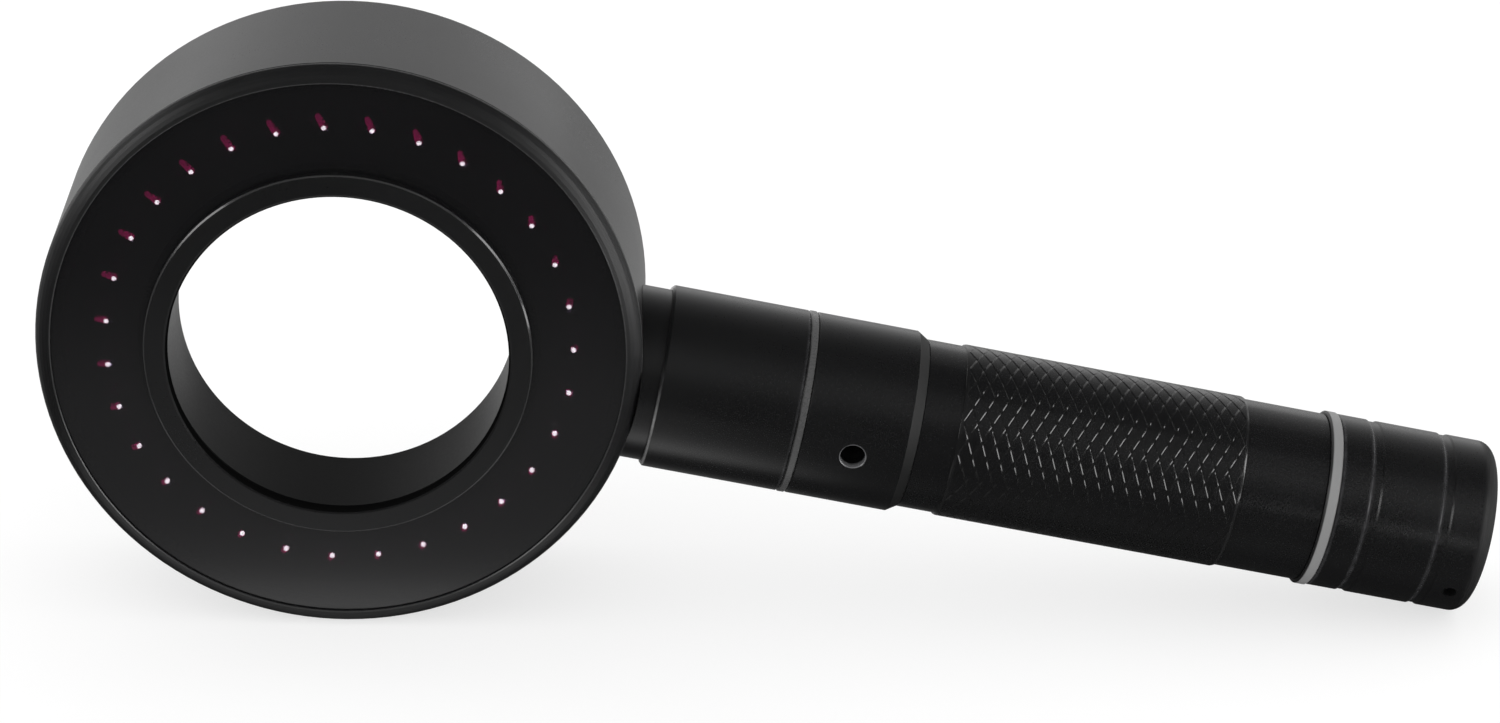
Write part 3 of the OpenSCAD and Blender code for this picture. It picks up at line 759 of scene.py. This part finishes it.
def flat_sheet(name, width, depth, location, rotation=(0, 0, 0)):
    """A flat sheet of the stage."""
    bpy.ops.object.select_all(action="DESELECT")
    bpy.ops.mesh.primitive_plane_add(size=1, location=location, rotation=rotation)
    sheet = bpy.context.object
    sheet.name = sheet.data.name = name
    sheet.scale = (width, depth, 1)
    bpy.ops.object.transform_apply(location=False, rotation=False, scale=True)
    return sheet


def seen_only_in_gloss(sheet):
    """Leaves the sheet to be seen by reflected rays alone."""
    for ray in ("camera", "diffuse", "transmission", "volume_scatter", "shadow"):
        setattr(sheet, "visible_" + ray, False)


def shine(sheet, strength_of):
    """Makes the sheet give light; strength_of is a number, or makes one from the finish."""
    f = Finish(sheet.name)
    f.tree.nodes.remove(f.shader)
    strength = strength_of(f) if callable(strength_of) else strength_of
    f.show(f.node("Emission", None, {"Color": (1, 1, 1), "Strength": strength}))
    f.material.cycles.emission_sampling = "NONE"
    coat(sheet, f.material)
    seen_only_in_gloss(sheet)


def floor_sheen(f):
    """Strength of the pale floor in the torch's gloss: bright close by, dim further out."""
    forward = f.measure(Vector((0, -1, 0)), Vector((0, 0, 0)))
    side = f.measure(Vector((1, 0, 0)), Vector((0, 0, 0)))
    from_head = abs(f.measure(Vector((1, 0, 0))))
    near_by = (1 + (forward - 20 * MM).clear_of(0.0) / (10 * MM)).power(-2.2) * 2.0
    near_by = near_by + forward.falls(150, 60) * 0.19
    beyond_torch = forward.rises(12, 14)
    by_head = (side.falls(10, 30) * 0.96 + 0.04) * side.rises(-140, 25)
    behind = forward.falls(0, 60) * 0.45
    under_back = from_head.falls(42, 15) * forward.falls(-60, 50) * 1.2
    return near_by * beyond_torch * by_head + behind + under_back + 0.03


def set_stage():
    """The pale floor, and the sheets that light the torch's gloss from below and from the sides."""
    floor = flat_sheet("floor", FLOOR_SIDE, FLOOR_SIDE, (0, 0, 0))
    f = Finish("floor_paper", Metallic=0.0, Roughness=0.6, Specular_IOR_Level=0.0,
               Emission_Color=(1, 1, 1, 1), Emission_Strength=FLOOR_LIGHT)
    f.set(Base_Color=f.blend(f.noise(30, 3), (0.30, 0.30, 0.30), (0.31, 0.31, 0.31)))
    f.material.cycles.emission_sampling = "NONE"
    coat(floor, f.material)
    floor.visible_glossy = False
    shine(flat_sheet("floor_sheen", FLOOR_SIDE, FLOOR_SIDE, (0, 0, -SHEEN_BELOW)), floor_sheen)
    right, forwards, width, depth = LOW_PANEL
    low = flat_sheet("panel_low", width, depth, (right, forwards, -LOW_PANEL_BELOW))
    shine(low, LOW_PANEL_LIGHT)
    for name, way, reach, width, height, light in PANELS:
        place = Vector(way).normalized() * reach
        facing = place.to_track_quat("Z", "Y").to_euler()
        shine(flat_sheet(name, width, height, place, facing), light)


# light of the vault in the gloss, by the angle in degrees from the front level over the top
VAULT = ((0.0, 0.01), (16, 0.01), (30, 0.16), (44, 0.22), (58, 0.06), (75, 0.01), (104, 0.0),
         (114, 0.05), (124, 0.13), (138, 0.27), (158, 0.64), (170, 0.85), (180, 0.95))
EVEN_LIGHT = 1.2


def set_world():
    """Even light on everything, and a vault that only the gloss shows."""
    world = bpy.data.worlds.new("studio")
    scene.world = world
    world.use_nodes = True
    tree = world.node_tree
    tree.nodes.clear()

    def node(kind, inputs=None, operation=None):
        made = tree.nodes.new("ShaderNode" + kind)
        if operation:
            made.operation = operation
        for key, value in (inputs or {}).items():
            if isinstance(value, bpy.types.NodeSocket):
                tree.links.new(value, made.inputs[key])
            else:
                made.inputs[key].default_value = value
        return made

    way = node("SeparateXYZ", {0: node("TexCoord").outputs["Generated"]}).outputs
    front = node("Math", {0: way["Y"], 1: -1}, "MULTIPLY")
    angle = node("Math", {0: way["Z"], 1: front.outputs[0]}, "ARCTAN2")
    half_turns = node("Math", {0: angle.outputs[0], 1: math.pi}, "DIVIDE")
    ramp = node("ValToRGB", {0: half_turns.outputs[0]})
    stops = ramp.color_ramp
    stops.interpolation = "LINEAR"
    while len(stops.elements) < len(VAULT):
        stops.elements.new(0.5)
    for element, (degrees, light) in zip(stops.elements, VAULT):
        element.position = degrees / 180
        element.color = (light, light, light, 1)
    even = node("Background", {"Color": (1, 1, 1, 1), "Strength": EVEN_LIGHT})
    vault = node("Background", {"Color": ramp.outputs[0]})
    mix = node("MixShader", {0: node("LightPath").outputs["Is Glossy Ray"],
                             1: even.outputs[0], 2: vault.outputs[0]})
    node("OutputWorld", {"Surface": mix.outputs[0]})


# ---- putting it together ----

black_rim = rim_anodised("black_anodised_head")
black_bezel = rim_anodised("black_anodised_bezel", (BEZEL_INNER_EDGE, BEZEL_OUTER_EDGE),
                           roughness=0.42, Specular_IOR_Level=0.34)
black_lip = rim_anodised("black_anodised_lip", (LIP_OUTER_EDGE,), painted_shade_within=LIP_BORE)
black_barrel = anodised("black_anodised_barrel", 0.29, (65.0,), painted_highlight_station=45.2)
black_tube = grip_finish("black_anodised_tube")
black_cap = anodised("black_anodised_cap", 0.29, (143.4, 147.8, 158.4), blasted_from=164.2)
# painted shade: the inner sleeve's black is darker and almost glossless, standing in for the shade
# inside the ring
painted_shade_black = plain_finish("black_anodised_matt", (0.0022, 0.0022, 0.0024),
                          (0.0036, 0.0036, 0.0038), 0.40, Specular_IOR_Level=0.03)
rubber = plain_finish("black_rubber", (0.014, 0.014, 0.014), (0.022, 0.022, 0.022), 0.62,
                      grain_depth=0.02)
plastic = plain_finish("black_plastic", (0.016, 0.016, 0.017), (0.025, 0.025, 0.026), 0.45,
                       grain_depth=0.015)
brass = plain_finish("brass", (0.66, 0.47, 0.19), (0.76, 0.57, 0.25), 0.3, Metallic=1.0)
bare = plain_finish("bare_aluminium", (0.68, 0.68, 0.69), (0.76, 0.76, 0.77), 0.32, Metallic=1.0)
spring = plain_finish("spring_steel", (0.56, 0.54, 0.47), (0.66, 0.64, 0.56), 0.25, Metallic=1.0)
oxide = plain_finish("black_steel", (0.10, 0.10, 0.105), (0.14, 0.14, 0.145), 0.30, Metallic=1.0)
green = board_finish("green_board", (0.015, 0.10, 0.03), (0.03, 0.17, 0.06))
dark_ring = ring_finish("dark_grey_ring", (0.058, 0.058, 0.058), (0.080, 0.080, 0.080), 0.28,
                        65.0, 66.3)
light_ring = ring_finish("light_grey_ring", (0.19, 0.19, 0.19), (0.25, 0.25, 0.25), 0.42,
                         TUBE_END, 143.3)
NODE_FINISHES = {
    "head_housing": black_rim, "bezel_ring": black_bezel, "lip_ring": black_lip,
    "inner_sleeve": painted_shade_black, "back_cover": black_rim, "cover_screws": oxide,
    "filter_glass": glass_finish(), "outer_gasket": rubber, "inner_gasket": rubber,
    "led_board": board_finish("white_board", (0.80, 0.80, 0.78), (0.70, 0.70, 0.68)),
    "uv_leds": epoxy_finish(), "led_holder": plastic, "led_resistors": plastic,
    "board_posts": brass, "lamp_wires": wire_finish(), "neck_spigot": black_barrel,
    "neck_seal": rubber, "front_barrel": black_barrel, "port_barrel": port_barrel_finish(),
    "trim_ring_front": dark_ring, "charging_jack": plastic, "driver_board": green,
    "driver_parts": plastic, "contact_board": green, "positive_contact": brass,
    "battery_tube": black_tube, "battery_cell": cell_finish(), "tail_seal": rubber,
    "trim_ring_tail": light_ring, "tail_cap": black_cap, "switch_retainer": bare,
    "switch_board": green, "tail_spring": spring, "switch_body": plastic, "tail_button": rubber,
    "switch_plunger": plain_finish("white_plastic", (0.76, 0.76, 0.74), (0.84, 0.84, 0.82), 0.4),
}

scene.view_settings.view_transform = "Standard"
set_camera()
set_world()
set_stage()
for node, finish in NODE_FINISHES.items():
    coat(frame["nodes"][node], finish)

tube = battery_tube()
coat(tube, black_tube)
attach(tube, "torch")
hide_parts("battery_tube")

thread = tail_thread()
coat(thread, black_tube)
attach(thread, "torch")

cores, halos = glow_pieces()
coat(cores, glow_finish("lamp_glow", (1.0, 0.94, 1.0), (0.96, 0.62, 0.92), 320, 0.15))
coat(halos, glow_finish("lamp_halo", (0.85, 0.02, 0.24), (0.48, 0.010, 0.15), 48.0, 0.30))
for piece in (cores, halos):
    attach(piece, "torch")

rubber_button = button()
coat(rubber_button, rubber)
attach(rubber_button, "button")
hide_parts("tail_button")
